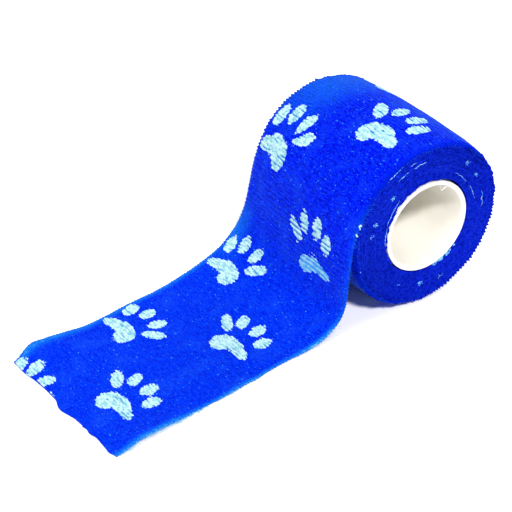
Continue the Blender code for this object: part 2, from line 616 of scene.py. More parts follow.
class NodeDesk:
    """Places shader nodes in a new material and links them, so that a finish reads as steps."""

    def __init__(self, name: str) -> None:
        """Starts a material with its Principled shader.

        Args:
            name: The material's name.
        """
        self.material = bpy.data.materials.new(name)
        self.material.use_nodes = True
        self.tree = self.material.node_tree

    def put(self, socket: bpy.types.NodeSocket, value: object) -> None:
        """Gives an input socket its value: a link from a signal, or a plain number or colour.

        Args:
            socket: The input socket.
            value: A signal, a number or a row of numbers.
        """
        if isinstance(value, Signal):
            self.tree.links.new(value.socket, socket)
        else:
            socket.default_value = value

    def node(self, kind: str, output: str | int, inputs: dict, **settings: object) -> Signal:
        """Adds a node and gives one of its outputs.

        Args:
            kind: The node's type without its first words.
            output: Name or number of the output.
            inputs: Signals or plain values by the input's name or number.
            settings: The node's own settings.

        Returns:
            The output's signal.
        """
        node = self.tree.nodes.new(f"ShaderNode{kind}")
        for name, value in settings.items():
            setattr(node, name, value)
        for name, value in inputs.items():
            self.put(node.inputs[name], value)
        return Signal(self, node.outputs[output])

    def attribute(self, name: str, output: str = "Fac") -> Signal:
        """The mesh's attribute of that name."""
        return self.node("Attribute", output, {}, attribute_name=name)

    def object_place(self) -> Signal:
        """Object coordinates of the surface."""
        return self.node("TexCoord", "Object", {})

    def scaled(self, vector: Signal, factors: Triple) -> Signal:
        """Vector with each part multiplied by its own factor."""
        return self.node("VectorMath", "Vector", {0: vector, 1: factors}, operation="MULTIPLY")

    def length(self, vector: Signal) -> Signal:
        """Length of a vector."""
        return self.node("VectorMath", "Value", {0: vector}, operation="LENGTH")

    def math(self, operation: str, first: Signal, second: Signal | float) -> Signal:
        """Result of one Math node."""
        return self.node("Math", 0, {0: first, 1: second}, operation=operation)

    def noise(self, place: Signal, scale: float, detail: float, roughness: float) -> Signal:
        """Noise of about 0.5 on average: cells for each unit, finer layers and their strength."""
        inputs = {"Vector": place, "Scale": scale, "Detail": detail, "Roughness": roughness}
        return self.node("TexNoise", "Fac", inputs)

    def pattern(self, place: Signal, fine: Fine, run: Pair = (1.0, 1.0)) -> Signal:
        """Fine noise on a place, its cells along and across made as many times more as the run."""
        cells = (fine.cells[0] * run[0], fine.cells[1] * run[1], fine.cells[2])
        return self.noise(self.scaled(place, cells), 1.0, fine.detail, fine.roughness)

    def blend(self, share: Signal, first: Signal | Rgb, second: Signal | Rgb) -> Signal:
        """Colour that goes from the first to the second by the share."""
        ends = [(*end, 1.0) if isinstance(end, tuple) else end for end in (first, second)]
        return self.node("Mix", 2, {"Factor": share, 6: ends[0], 7: ends[1]}, data_type="RGBA")

    def bump(self, distance: float, strength: float, height: Signal, **below: Signal) -> Signal:
        """Normal bent by a height of so many metres a unit, on top of an earlier bump's Normal."""
        inputs = {"Distance": distance, "Strength": strength, "Height": height, **below}
        return self.node("Bump", "Normal", inputs)

    def shaded(self, **values: object) -> bpy.types.Material:
        """Gives the shader its values, named with underscores for spaces.

        Args:
            values: Signals to link, and plain numbers or colours for the shader's own sockets.

        Returns:
            The finished material.
        """
        shader = self.tree.nodes["Principled BSDF"]
        for name, value in values.items():
            self.put(shader.inputs[name.replace("_", " ")], value)
        return self.material


class Grain(Enum):
    """Whether a pattern follows the strip or the space round it, and its run along and across."""

    STRIP = (1.0, 0.42)
    SPACE = (0.9, 0.9)


@dataclass(frozen=True)
class BandageFinish:
    """Creped cohesive cloth: deep blue, pale paws on the ridges' tops, lint and a soft sheen."""

    name: str
    grain: Grain = Grain.STRIP
    deep: Rgb = (0.0, 0.0015, 0.39)
    bright: Rgb = (0.0003, 0.0095, 0.615)
    slack_deep: Rgb = (0.0, 0.010, 0.45)
    slack: Rgb = (0.0003, 0.028, 0.555)
    rim_shade: Rgb = (0.0, 0.008, 0.40)
    lint: Rgb = (0.03, 0.22, 0.68)
    ink: Rgb = (0.39, 0.57, 0.62)
    ink_thin: Rgb = (0.18, 0.40, 0.44)
    crack: Rgb = (0.01, 0.14, 0.41)
    bluer_ink: Rgb = (0.035, 0.25, 0.58)
    # The edge colour: partly frayed fibres, partly painted glow of light through the thin edges.
    fringe_and_glow: Rgb = (0.008, 0.19, 0.50)
    edge_specks: Rgb = (0.06, 0.36, 0.66)
    sheen: float = 0.32
    sheen_tint: Rgb = (0.22, 0.60, 1.0)
    bump_depth: float = 0.00018
    thread_depth: float = 0.6
    bump_strength: float = 0.8
    # The fine patterns, from the crepe's dashes down to single flecks, and the broad patches.
    dash: Fine = Fine((1.15, 1.15, 1.5), 2.0, 0.6)
    thread: Fine = Fine((2.8, 3.4, 3.0), 2.0, 0.6)
    fleck: Fine = Fine((1.9, 2.1, 2.0), 1.0, 0.5)
    patch: Fine = Fine((0.12, 0.14, 0.2), 2.0, 0.5)
    # Body: crepe valleys and tops, partly painted shade; lint haze; painted rim shade; fringe and
    # glow.
    ridge_share: float = 0.11
    tops: Onset = Onset(0.34, 0.66)
    slack_share: float = 0.7
    haze: Onset = Onset(0.45, 0.75, 0.06)
    grain_lint: Onset = Onset(0.54, 0.70, 0.20)
    fleck_lint: Onset = Onset(0.69, 0.75, 0.9)
    rim_noise: float = 0.9
    rim_shaded: Onset = Onset(0.15, 0.85)
    rim_inner: Onset = Onset(0.0, 0.2)
    edge_mottle: Quad = (0.30, 0.60, 0.45, 1.0)
    edge_tips: Onset = Onset(0.35, 1.0)
    fleck_tips: Onset = Onset(0.50, 0.62, 0.8)
    # Print: its edge jagged by ridges, threads and dashes; thin ink, cracks and a bluer ink patch in
    # it.
    ragged: Triple = (0.34, 1.4, 1.3)
    printed: Onset = Onset(0.0, 0.18)
    thin_noise: float = 0.8
    thick_ink: Onset = Onset(0.40, 0.60)
    crack_dash: float = 1.1
    uncracked: Onset = Onset(-0.02, 0.30)
    slack_whole: float = 0.38
    streak: Pair = (0.7, 0.4)
    streaks: Quad = (0.15, 0.55, 1.0, 0.40)

    def material(self) -> bpy.types.Material:
        """Builds the finish from the strip's attributes.

        Returns:
            The material.
        """
        desk = NodeDesk(self.name)
        if self.grain is Grain.STRIP:
            place = desk.attribute("strip", "Vector")
        else:
            place = desk.scaled(desk.object_place(), (1.0 / MM,) * 3)
        names = ("ridge", "print_depth", "edge", "slack", "rim", "bluer_patch")
        ridge, depth, edge, slack, rim, bluer_patch = (desk.attribute(name) for name in names)
        fine = (self.dash, self.thread, self.fleck)
        dash, thread, fleck = (desk.pattern(place, each, self.grain.value) for each in fine)
        patch = desk.pattern(place, self.patch)
        thread_off, dash_off = thread - 0.5, dash - 0.5

        # Darker valleys and lighter tops: random dashes, and the ridge mark as painted shade in the
        # crepe.
        crepe = ridge * self.ridge_share + dash
        valley = desk.blend(slack, self.deep, self.slack_deep)
        top = desk.blend(slack * self.slack_share, self.bright, self.slack)
        body = desk.blend(crepe.onset(self.tops), valley, top)
        haze = patch.onset(self.haze) + thread.onset(self.grain_lint)
        body = desk.blend(haze, body, self.lint)
        body = desk.blend(fleck.onset(self.fleck_lint), body, self.lint)
        shade = (rim + dash_off * self.rim_noise).onset(self.rim_shaded)
        body = desk.blend(shade * rim.onset(self.rim_inner), body, self.rim_shade)
        # The edge mark lightens the body: frayed fibres, and painted glow and highlight at bend and
        # top.
        body = desk.blend(edge * thread.span(*self.edge_mottle), body, self.fringe_and_glow)
        # Pale specks in the edge mark: fibre tips, and speckle in the painted bend glow.
        edge_specks = edge.onset(self.edge_tips) * fleck.onset(self.fleck_tips)
        body = desk.blend(edge_specks, body, self.edge_specks)

        by_ridge, by_thread, by_dash = self.ragged
        jagged = ridge * by_ridge + (thread_off * by_thread + dash_off * by_dash)
        thick = (crepe + thread_off * self.thin_noise).onset(self.thick_ink)
        ink = desk.blend(thick, self.ink_thin, self.ink)
        whole = (ridge + dash * self.crack_dash).onset(self.uncracked)
        ink = desk.blend(whole.at_least(slack * self.slack_whole), self.crack, ink)
        streak = dash * self.streak[0] + ridge * self.streak[1]
        ink = desk.blend(bluer_patch * streak.span(*self.streaks), ink, self.bluer_ink)

        coarse = desk.bump(self.bump_depth, self.bump_strength, crepe)
        threads = self.bump_depth * self.thread_depth
        return desk.shaded(
            Base_Color=desk.blend((depth + jagged).onset(self.printed), body, ink),
            Normal=desk.bump(threads, self.bump_strength, thread, Normal=coarse),
            Roughness=0.9,
            Specular_IOR_Level=0.0,
            Sheen_Weight=self.sheen,
            Sheen_Roughness=0.35,
            Sheen_Tint=(*self.sheen_tint, 1.0),
        )


@dataclass(frozen=True)
class ThreadFinish:
    """Pale elastic thread that shows at the turns' edges."""

    name: str = "pale_thread"
    pale: Rgb = (0.25, 0.46, 0.70)
    blue: Rgb = (0.02, 0.16, 0.66)
    lint: Fine = Fine((1.6, 1.6, 1.6), 2.0, 0.6)
    bare: Onset = Onset(0.42, 0.62)

    def material(self) -> bpy.types.Material:
        """Builds the finish: pale, with blue lint on it in places.

        Returns:
            The material.
        """
        desk = NodeDesk(self.name)
        place = desk.scaled(desk.object_place(), (1.0 / MM,) * 3)
        bare = desk.pattern(place, self.lint).onset(self.bare)
        colour = desk.blend(bare, self.blue, self.pale)
        return desk.shaded(Base_Color=colour, Roughness=0.8, Specular_IOR_Level=0.1)


@dataclass(frozen=True)
class LintFinish:
    """Fine fibres of the cloth's edges: blue on the roll, and paler towards the cut."""

    name: str = "edge_lint"
    blue: Rgb = (0.01, 0.13, 0.66)
    pale: Rgb = (0.17, 0.52, 0.80)

    def material(self) -> bpy.types.Material:
        """Builds the finish from the fibres' own paleness.

        Returns:
            The material.
        """
        desk = NodeDesk(self.name)
        colour = desk.blend(desk.attribute("pale"), self.blue, self.pale)
        return desk.shaded(Base_Color=colour, Roughness=0.8, Specular_IOR_Level=0.1)


@dataclass(frozen=True)
class PlasticFinish:
    """Moulded ivory-white plastic, softly glossy, with faint clouding and fine scuffs."""

    name: str = "white_core_plastic"
    pale: Rgb = (0.79, 0.765, 0.70)
    warm: Rgb = (0.73, 0.69, 0.60)
    # Scale, finer layers and their strength of the two noises; scuffs run along the tube.
    cloud: Triple = (90.0, 3.0, 0.55)
    scuff: Triple = (900.0, 3.0, 0.6)
    scuff_run: Triple = (0.15, 1.0, 1.0)
    clouded: Onset = Onset(0.45, 0.8)
    scuffed: Onset = Onset(0.62, 0.72, 0.25)
    gloss: Quad = (0.4, 0.7, 0.28, 0.42)
    scuff_depth: float = 0.00002
    scuff_strength: float = 0.5

    def material(self) -> bpy.types.Material:
        """Builds the finish on object coordinates.

        Returns:
            The material.
        """
        desk = NodeDesk(self.name)
        place = desk.object_place()
        cloud = desk.noise(place, *self.cloud)
        scuff = desk.noise(desk.scaled(place, self.scuff_run), *self.scuff)
        colour = desk.blend(cloud.onset(self.clouded), self.pale, self.warm)
        return desk.shaded(
            Base_Color=desk.blend(scuff.onset(self.scuffed), colour, self.warm),
            Roughness=scuff.span(*self.gloss),
            Normal=desk.bump(self.scuff_depth, self.scuff_strength, scuff),
            Specular_IOR_Level=0.5,
        )


@dataclass(frozen=True)
class FloorFinish:
    """Matt white paper."""

    name: str = "white_paper"
    white: Rgb = (0.93, 0.93, 0.94)
    grain: Triple = (600.0, 2.0, 0.5)
    darker: float = 0.985
    lit: Onset = Onset(0.45, 1.3, 0.9)

    def material(self) -> bpy.types.Material:
        """Builds the paper: white with a barely seen grain, lit from below far from the object.

        Returns:
            The material.
        """
        desk = NodeDesk(self.name)
        place = desk.object_place()
        darker = tuple(self.darker * part for part in self.white)
        return desk.shaded(
            Base_Color=desk.blend(desk.noise(place, *self.grain), self.white, darker),
            Emission_Strength=desk.length(place).onset(self.lit),
            Roughness=0.95,
            Specular_IOR_Level=0.1,
        )


# ---- meshes


def new_object(name: str, data: bpy.types.ID) -> bpy.types.Object:
    """Puts data into the scene as an object at the origin.

    Args:
        name: The object's name.
        data: Its mesh, light or camera.

    Returns:
        The new object.
    """
    made = bpy.data.objects.new(name, data)
    bpy.context.scene.collection.objects.link(made)
    return made


def closed_mesh(
    name: str,
    bodies: list[Array],
    material: bpy.types.Material,
    marks: dict[str, Array] | None = None,
    cap: Faces | None = None,
    capped: bool = True,
) -> bpy.types.Object:
    """Skins of closed loops: quads between neighbouring loops, ended by caps or joined in a ring.

    Args:
        name: The piece's name.
        bodies: For each body its points in metres, one closed loop of points for each section.
        material: The piece's finish.
        marks: Numbers or vectors for each point, by the attribute that keeps them.
        cap: Faces of a cap, as places in the loop; without them a cap is one face.
        capped: Whether both ends get a cap; otherwise the last loop joins the first.

    Returns:
        The new object, smooth-shaded, with its place in its mesh.
    """
    points, faces, first = [], [], 0
    for loops in bodies:
        sections, size = loops.shape[:2]
        count = sections - 1 if capped else sections
        here = first + np.arange(count)[:, None] * size
        following = first + (np.arange(count)[:, None] + 1) % sections * size
        j = np.arange(size)[None, :]
        beside = (j + 1) % size
        quads = np.stack([here + j, following + j, following + beside, here + beside], -1)
        faces += quads.reshape(-1, 4).tolist()
        if capped:
            last = first + (sections - 1) * size
            for face in cap or [list(range(size))]:
                faces.append([first + k for k in face])
                faces.append([last + k for k in reversed(face)])
        points += loops.reshape(-1, 3).tolist()
        first += sections * size
    mesh = bpy.data.meshes.new(name)
    mesh.from_pydata(points, [], faces)
    mesh.shade_smooth()
    mesh.update()
    mesh.materials.append(material)
    for mark, values in (marks or {}).items():
        vector = values.shape[-1] == 3 and values.ndim > 2
        kind, slot = ("FLOAT_VECTOR", "vector") if vector else ("FLOAT", "value")
        attribute = mesh.attributes.new(mark, kind, "POINT")
        attribute.data.foreach_set(slot, np.ascontiguousarray(values, np.float32).ravel())
    return new_object(name, mesh)


@dataclass(frozen=True)
class SectionLoop:
    """Closed cross-section of the strip: flat faces above and below, and half-round edges.

    Each point holds a share across from -1 to 1, a reach past the rounding's centre and a depth,
    the last two in half thicknesses.
    """

    upper: int
    lower: int
    rounding: int

    def table(self) -> list[Array]:
        """Shares across, reaches and depths of the loop's points, from the far upper corner round.

        Returns:
            Three rows of numbers.
        """
        turn = np.pi * np.arange(1, self.rounding) / self.rounding
        above = np.linspace(-1.0, 1.0, self.upper + 1)
        below = np.linspace(1.0, -1.0, self.lower + 1)
        one, sine, cosine = np.ones_like(turn), np.sin(turn), np.cos(turn)
        parts = (
            (above, one, below, -one),
            (0.0 * above, sine, 0.0 * below, -sine),
            (0.0 * above, 1.0 - cosine, 0.0 * below + 2.0, 1.0 + cosine),
        )
        return [np.concatenate(part)[None, :] for part in parts]

    def cap(self) -> Faces:
        """Faces that close the loop, so that a cap follows a curved cut.

        Each joins one step of the lower face to the upper steps over it, and the first and last
        take in the rounded edges.

        Returns:
            For each face its places in the loop.
        """
        over = self.upper // self.lower
        below = self.upper + self.rounding
        near_round = list(range(self.upper + 1, below))
        far_round = list(range(below + self.lower + 1, below + self.lower + self.rounding))
        faces = []
        for step in range(self.lower):
            right = self.upper - step * over
            face = list(range(right - over, right + 1))
            face += near_round if step == 0 else []
            face += [below + step, below + step + 1]
            face += far_round if step == self.lower - 1 else []
            faces.append(face)
        return faces


@dataclass
class OuterStrip:
    """The last turn and the loose end: one strip with creped faces and a softly bulging cut."""

    course: StripCourse
    motif: PawPrint
    finish: BandageFinish
    step: float = 0.2
    section: SectionLoop = SectionLoop(50, 10, 4)
    end_turn: float = 84.0
    end_steps: int = 5
    cut_blend: float = 10.0
    cut_teeth: Noise = Noise(0.28, 0.9, 1.0, 31)
    floor_gap: Pair = (0.01, 0.02)
    thickening: Rise = Rise(-2.0, 22.0)
    slackening: Rise = Rise(10.0, 40.0)
    freed: Rise = Rise(0.0, 15.0)
    # Crepe: bent and faded waves with rough noise in them, and wider folds where it is gathered.
    ridge_pitch: float = 0.93
    ridge_bend: Noise = Noise(2.2, 3.0, 3.0, 11)
    slack_bend: Noise = Noise(2.6, 2.0, 1.8, 14)
    ridge_full: float = 0.58
    ridge_fade: Noise = Noise(0.42, 1.7, 2.2, 12)
    ridge_rough: Noise = Noise(1.0, 0.55, 1.5, 13)
    wave_share: Pair = (0.62, 0.55)
    ridge_height: Pair = (0.13, 0.10)
    ridge_sunk: float = 0.5
    gathered: Hump = Hump(23.0, 13.0)
    crepe_lost: float = 0.6
    fold_pitch: float = 1.2
    fold_fade: float = 0.3
    fold_height: float = 0.85
    waves: tuple[Noise, ...] = (Noise(0.10, 9.0, 11.0, 41), Noise(0.06, 4.0, 5.0, 42))
    rim_taut: Rise = Rise(22.0, 3.0)
    rim_teeth: float = 1.6
    rim_burr: float = 0.46
    # Side edges: how they wander and where they stand in or out of the straight line.
    selvedge_seed: int = 20
    selvedge_wander: Pair = (0.16, 5.0)
    selvedge_teeth: Pair = (0.32, 0.16)
    selvedge_full: float = 0.6
    selvedge_cell: float = 1.9
    lying: Rise = Rise(30.0, 25.0)
    near_inset: float = 0.8
    cut_inset: float = 0.35
    narrowing: Rise = Rise(75.0, 15.0)
    far_outset: float = 0.35
    corner_bulge: float = 1.0
    corner: Hump = Hump(105.0, 5.0)
    # Marks that the finish reads: fringe, bend glow, far-top highlight, painted rim shade, bluer ink.
    under_depth: float = 1.2
    # Fringe band at each side edge: frayed fibres and painted glow of light through the thin cloth.
    fringe_width: Pair = (2.1, 1.1)
    fringe_widening: Rise = Rise(80.0, 15.0)
    fringe_starts: tuple[tuple[float, Rise], ...] = (
        (0.15, Rise(-2.0, 10.0)),
        (0.85, Rise(31.0, 13.0)),
    )
    far_fringe: float = 0.6
    under_fringe: float = 0.5
    # Painted glow of light through the single layer, near the far edge where it bends.
    bend: Hump = Hump(33.0, 14.0)
    bend_glow_width: float = 9.0
    bend_glow_share: float = 0.5
    # Painted highlight on the far side of the roll's top.
    painted_top_highlight: Hump = Hump(-21.0, 24.0)
    painted_top_highlight_width: Rise = Rise(4.0, 14.0)
    painted_top_highlight_share: float = 0.30
    rim_shade: Rise = Rise(23.0, 1.8)
    rim_end: Rise = Rise(5.0, 10.0)
    # An oval patch on the hanging part where the ink is bluer.
    bluer_patch: Patch = Patch(26.5, 11.0, 5.0, 9.0)
    bluer_patch_edge: float = 1.4
    edge_print: tuple[Patch, ...] = tuple(
        Patch(place, 24.9, length, 0.45)
        for place, length in ((7.4, 0.9), (9.8, 0.4), (45.8, 1.1), (83.0, 0.9))
    )
    lost_print: Patch = Patch(23.6, 5.3, 1.5, 1.5)
    lost_edge: float = 1.5
    lost_depth: float = 3.0

    def ridges(self, relaxed: Array, across: Array, slack: Array) -> Array:
        """Crepe of the cloth: waves along the strip, bent and faded by noise, from -1 to 1.

        Where the cloth is stretched the waves run straight across; where it is slack they wander.

        Args:
            relaxed: Length on the relaxed strip, in mm.
            across: Place across it.
            slack: From 0 where the cloth is stretched to 1 where it is slack.

        Returns:
            Height of the crepe.
        """
        bend = self.ridge_bend.at(relaxed, across)
        loose_bend = slack * self.slack_bend.at(relaxed, across)
        fade = self.ridge_full + self.ridge_fade.at(relaxed, across)
        wave = np.cos(FULL_TURN * relaxed / self.ridge_pitch + bend + loose_bend) * fade
        taut, loose = self.wave_share
        share = taut + (loose - taut) * slack
        crepe = share * wave + (1.0 - share) * self.ridge_rough.at(relaxed, across)
        gathered = self.gathered.at(relaxed)
        folds = np.cos(FULL_TURN * relaxed / self.fold_pitch + bend)
        folds = folds * (1.0 - self.fold_fade + self.fold_fade * fade)
        return crepe * (1.0 - self.crepe_lost * gathered) + self.fold_height * gathered * folds

    def edge_shift(self, along: Array, side: Side) -> Array:
        """How far a side edge lies outside its straight line.

        It is slow noise, the ends of the ridges, and the edge's inset or outset.

        Args:
            along: Place along the strip, in mm.
            side: Which edge.

        Returns:
            Outward shift in mm.
        """
        relaxed, seed = self.course.relaxed(along), self.selvedge_seed + side.value
        wander, cell = self.selvedge_wander
        slow = wander * lattice_noise(relaxed / cell, 0.0, seed)
        uneven = lattice_noise(relaxed / self.selvedge_cell, 1.0, seed)
        uneven = self.selvedge_full + (1.0 - self.selvedge_full) * uneven
        taut, loose = self.selvedge_teeth
        teeth = taut + (loose - taut) * self.slackening.at(along)
        shift = slow + teeth * np.cos(FULL_TURN * relaxed / self.ridge_pitch) * uneven
        lying = self.lying.at(along)
        if side is Side.NEAR:
            return shift - self.near_inset * lying - self.cut_inset * self.narrowing.at(along)
        return shift + self.far_outset * lying + self.corner_bulge * self.corner.at(along)

    def thickness(self, along: Array) -> Array:
        """Thickness: pressed thin on the roll, and full again where the strip is loose."""
        thin, full = self.course.wound_thickness, self.course.loose_thickness
        return thin + (full - thin) * self.thickening.at(along)

    def raised(self, along: Array, across: Array, ridge: Array, depth: Array) -> Array:
        """How far the faces stand out: the crepe, broad waves, and a burr at the roll's rims.

        Under the roll's last turn nothing is raised; where the strip is free both faces are.

        Args:
            along: Place along the strip.
            across: Place across it.
            ridge: Height of the crepe, from -1 to 1.
            depth: Depth in the section, in half thicknesses.

        Returns:
            Outward distance in mm.
        """
        free = self.freed.at(along)
        taut, loose = self.ridge_height
        height = taut + (loose - taut) * self.slackening.at(along)
        taut_rim = self.rim_taut.at(np.abs(across)) * (1.0 - free)
        height = height * (1.0 + self.rim_teeth * taut_rim)
        raised = height * (ridge - self.ridge_sunk)
        raised = raised + sum(wave.at(along, across) for wave in self.waves)
        raised = raised + self.rim_burr * taut_rim * np.maximum(ridge, 0.0)
        top = np.clip(1.0 - depth / 2.0, 0.0, 1.0)
        return raised * (top + (1.0 - top) * free)

    def marks(self, along: Array, across: Array, depth: Array) -> dict[str, Array]:
        """Marks that the finish reads, each an eased band or patch of the strip.

        Args:
            along: Place along the strip.
            across: Place across it.
            depth: Depth in the section, in half thicknesses.

        Returns:
            For each mark its strength at each point.
        """
        off_edge, under = np.abs(across) - self.course.half_width, depth > self.under_depth
        narrow, wider = self.fringe_width
        wide = narrow + wider * self.fringe_widening.at(along)
        fringe_and_glow = ease((off_edge + wide) / wide)
        fringe_and_glow = fringe_and_glow * sum(share * start.at(along) for share, start in self.fringe_starts)
        fringe_and_glow = fringe_and_glow * np.where(across > 0.0, 1.0, self.far_fringe)
        fringe_and_glow = fringe_and_glow * np.where(under, self.under_fringe, 1.0)
        # Painted glow of light through the single layer where it bends, near the far edge.
        beside = (across + self.course.half_width) / self.bend_glow_width
        bend = self.bend_glow_share * self.bend.at(along) * ease(1.0 - beside)
        painted_top_highlight = self.painted_top_highlight_share * self.painted_top_highlight.at(along) * self.painted_top_highlight_width.at(-across)
        ink = self.motif.depth(self.course.relaxed(along), across)
        for patch in self.edge_print:
            ink = np.maximum(ink, 1.0 - patch.distance(along, across))
        lost = ease(self.lost_edge - self.lost_print.distance(along, across))
        return {
            "print_depth": np.where(under, -self.motif.limit, ink - self.lost_depth * lost),
            # One mark for the fringe, the painted bend glow and the painted top highlight.
            "edge": np.maximum(fringe_and_glow, np.maximum(bend, painted_top_highlight)),
            "slack": self.slackening.at(along),
            "rim": self.rim_shade.at(np.abs(across)) * (1.0 - self.rim_end.at(along)),
            "bluer_patch": ease(self.bluer_patch_edge - self.bluer_patch.distance(along, across)),
        }

    def build(self) -> bpy.types.Object:
        """Carries the section along the course, rounds its end, and raises the crepe on it.

        Returns:
            The finished mesh piece.
        """
        course = self.course
        end, full = course.loose_length, course.loose_thickness / 2.0
        rows = int(round((end + course.turn_length) / self.step)) + 1
        rounding = np.radians(np.linspace(0.0, self.end_turn, self.end_steps + 1)[1:])
        straight = np.linspace(-course.turn_length, end - full, rows)
        straight = np.concatenate([straight, end - full + full * np.sin(rounding)])[:, None]
        share, reach, depth = self.section.table()
        past = np.clip((straight - end + full) / full, 0.0, 1.0)
        whole_half = self.thickness(straight) / 2.0
        half = whole_half * np.sqrt(1.0 - past**2)
        near, far = (self.edge_shift(straight, side) for side in (Side.NEAR, Side.FAR))
        shift = share * np.abs(share) ** 3 * np.where(share > 0.0, near, far)
        across = share * (course.half_width - half) + reach * half + shift
        longer = course.cut_length(across) + self.cut_teeth.at(across, 0.0) - end
        along = straight + longer * ease((straight - end + self.cut_blend) / self.cut_blend)

        relaxed = course.relaxed(along)
        ridge = self.ridges(relaxed, across, self.slackening.at(along))
        out = self.raised(along, across, ridge, depth) - depth * half - (whole_half - half)
        points = course.point(along, across) + course.outward(along, across) * out[..., None]
        low, rising = self.floor_gap
        lowest = low + rising * np.clip(1.0 - depth / 2.0, 0.0, 1.0)
        points[..., 2] = np.maximum(points[..., 2], lowest)

        marks = self.marks(along, across, depth)
        marks |= {"strip": np.stack([relaxed, across, depth * half], -1), "ridge": ridge}
        finish = self.finish.material()
        return closed_mesh("outer_strip", [points * MM], finish, marks, self.section.cap())

    def flat_size(self) -> Pair:
        """Width and relaxed length of this stretch of the strip, in metres."""
        ends = self.course.relaxed(np.array([-self.course.turn_length, self.course.loose_length]))
        return 2.0 * self.course.half_width * MM, float(ends[1] - ends[0]) * MM


@dataclass(frozen=True)
class Speck:
    """A mark on an end face where print or lint shows at the turns' edges.

    It has a clock angle from the top towards -Y in degrees, a radius, and its length and breadth in
    mm; the last number is its strength.
    """

    angle: float
    radius: float
    length: float
    breadth: float
    strength: float = 1.0

    def share(self, angle: Array, radius: Array) -> Array:
        """Strength of the mark: two less twice the square of the scaled distance, from 0 to 1.

        Args:
            angle: Clock angles in degrees.
            radius: Radii in mm.

        Returns:
            The mark's strength there.
        """
        turned = (angle - self.angle + 180.0) % 360.0 - 180.0
        along = np.radians(np.abs(turned)) * self.radius / (self.length / 2.0)
        beside = np.abs(radius - self.radius) / (self.breadth / 2.0)
        return self.strength * np.clip(2.0 - 2.0 * np.hypot(along, beside) ** 2, 0.0, 1.0)


@dataclass
class WoundTurns:
    """All the turns below the last one: a true spiral strip whose edges make the end faces."""

    course: StripCourse
    finish: BandageFinish
    steps_per_turn: int = 176
    section: SectionLoop = SectionLoop(8, 8, 4)
    last_gap: float = 0.05
    edge_round: float = 0.25
    # Each side reads its own row of the noise, one value for each turn, crossed over at its end.
    noise_rows: Pair = (3.0, 9.0)
    turn_noise: Noise = Noise(0.05, 1.0, 1.0, 51)
    crossing: Rise = Rise(0.8, 0.2)
    rough: Noise = Noise(1.0, 1.5, 1.0, 52)
    jitter: float = 0.15
    first_turn_jitter: float = 0.45
    first_turn: Rise = Rise(0.0, 1.4)
    ridge: Noise = Noise(0.5, 1.3, 2.0, 53)
    speck_depth: Pair = (1.5, 1.3)
    face_steps: tuple[Pair, ...] = (
        (0.0, 0.0), (0.14, -0.25), (0.34, 0.05), (0.44, 0.30),
        (0.52, 0.0), (0.74, 0.15), (0.88, 0.0), (1.0, -0.15),
    )
    specks: tuple[Speck, ...] = (
        Speck(-40.0, 20.0, 2.4, 1.2), Speck(-57.0, 19.4, 2.2, 1.2), Speck(41.0, 18.5, 2.0, 1.4),
        Speck(67.0, 19.1, 1.8, 1.4), Speck(77.0, 19.7, 2.2, 1.4, 0.8),
        Speck(-107.0, 13.8, 1.2, 0.7, 0.9), Speck(-120.0, 13.8, 1.4, 0.7, 0.9),
        Speck(-136.0, 14.1, 2.0, 1.3), Speck(-146.0, 14.2, 3.2, 1.8),
        Speck(-157.0, 14.2, 3.4, 1.6), Speck(-167.0, 14.2, 2.6, 1.1, 0.9),
        Speck(-164.0, 19.0, 2.6, 1.3, 0.8), Speck(174.0, 18.0, 2.4, 1.1),
        Speck(147.0, 18.0, 2.2, 1.0, 0.7), Speck(104.0, 23.2, 1.4, 1.0),
    )

    def step_out(self, way_out: Array) -> Array:
        """How far an end face stands out of the strip's width, on the way from bore to rim."""
        shares, offsets = np.array(self.face_steps).T
        return np.interp(way_out, shares, offsets)

    def face_place(self, radius: Array) -> Array:
        """How far out the near end face stands at a radius, read from its steps."""
        way_out = (radius - self.course.inside) / (self.course.rim_radius - self.course.inside)
        return self.course.half_width + self.step_out(way_out)

    def build(self) -> bpy.types.Object:
        """Carries the section round the spiral, each turn's edges a little in or out.

        Returns:
            The finished mesh piece.
        """
        course = self.course
        half = course.wound_thickness / 2.0
        rows = int((course.turns - 1.0) * self.steps_per_turn) + 1
        end = -course.turn_length - self.last_gap
        along = np.linspace(-course.turns * course.turn_length, end, rows)[:, None]
        share, reach, depth = self.section.table()
        turn = along / course.turn_length + course.turns
        whole, row = np.floor(turn), np.where(share > 0.0, *self.noise_rows)
        one, two = self.turn_noise.at(whole, row), self.turn_noise.at(whole + 1.0, row)
        uneven = one + (two - one) * self.crossing.at(turn - whole)
        jitter = self.jitter + self.first_turn_jitter * (1.0 - self.first_turn.at(turn))
        edge = course.half_width + self.step_out(turn / course.turns) + uneven
        edge = edge + jitter * self.rough.at(along, row)
        across = share * edge - (share - reach) * half * self.edge_round * np.abs(share)
        below = depth * half
        points = course.point(along, across) - course.outward(along, across) * below[..., None]

        up = points[..., 2] - course.axis_height
        radius, angle = np.hypot(points[..., 1], up), np.degrees(np.arctan2(-points[..., 1], up))
        specks = np.max([speck.share(angle, radius) for speck in self.specks], 0) * (share > 0.5)
        along, across, below = np.broadcast_arrays(along, across, below)
        strength, outside = self.speck_depth
        marks = {name: np.zeros_like(across) for name in ("edge", "slack", "rim", "bluer_patch")} | {
            "strip": np.stack([course.relaxed(along), across, below], -1),
            "ridge": self.ridge.at(along, across),
            "print_depth": strength * specks - outside,
        }
        finish = self.finish.material()
        return closed_mesh("wound_turns", [points * MM], finish, marks, self.section.cap())

    def flat_size(self) -> Pair:
        """Width and relaxed length of the turns, in metres: the mean way round times their number.

        Returns:
            Width and length.
        """
        course = self.course
        mean = (course.bore_radius + course.crown_radius) / 2.0
        wound = 2.0 * np.pi * mean * (course.turns - 1.0)
        return 2.0 * course.half_width * MM, float(wound / course.stretch) * MM


@dataclass(frozen=True)
class ThreadArc:
    """A thread on the near end face: its radius, and the clock angles where it starts and ends.

    Its radius drifts by one amount and folds in and out by another, as often as it has folds.
    """

    radius: float
    start: float
    end: float
    drift: float = 0.0
    fold: float = 0.0
    folds: float = 1.0


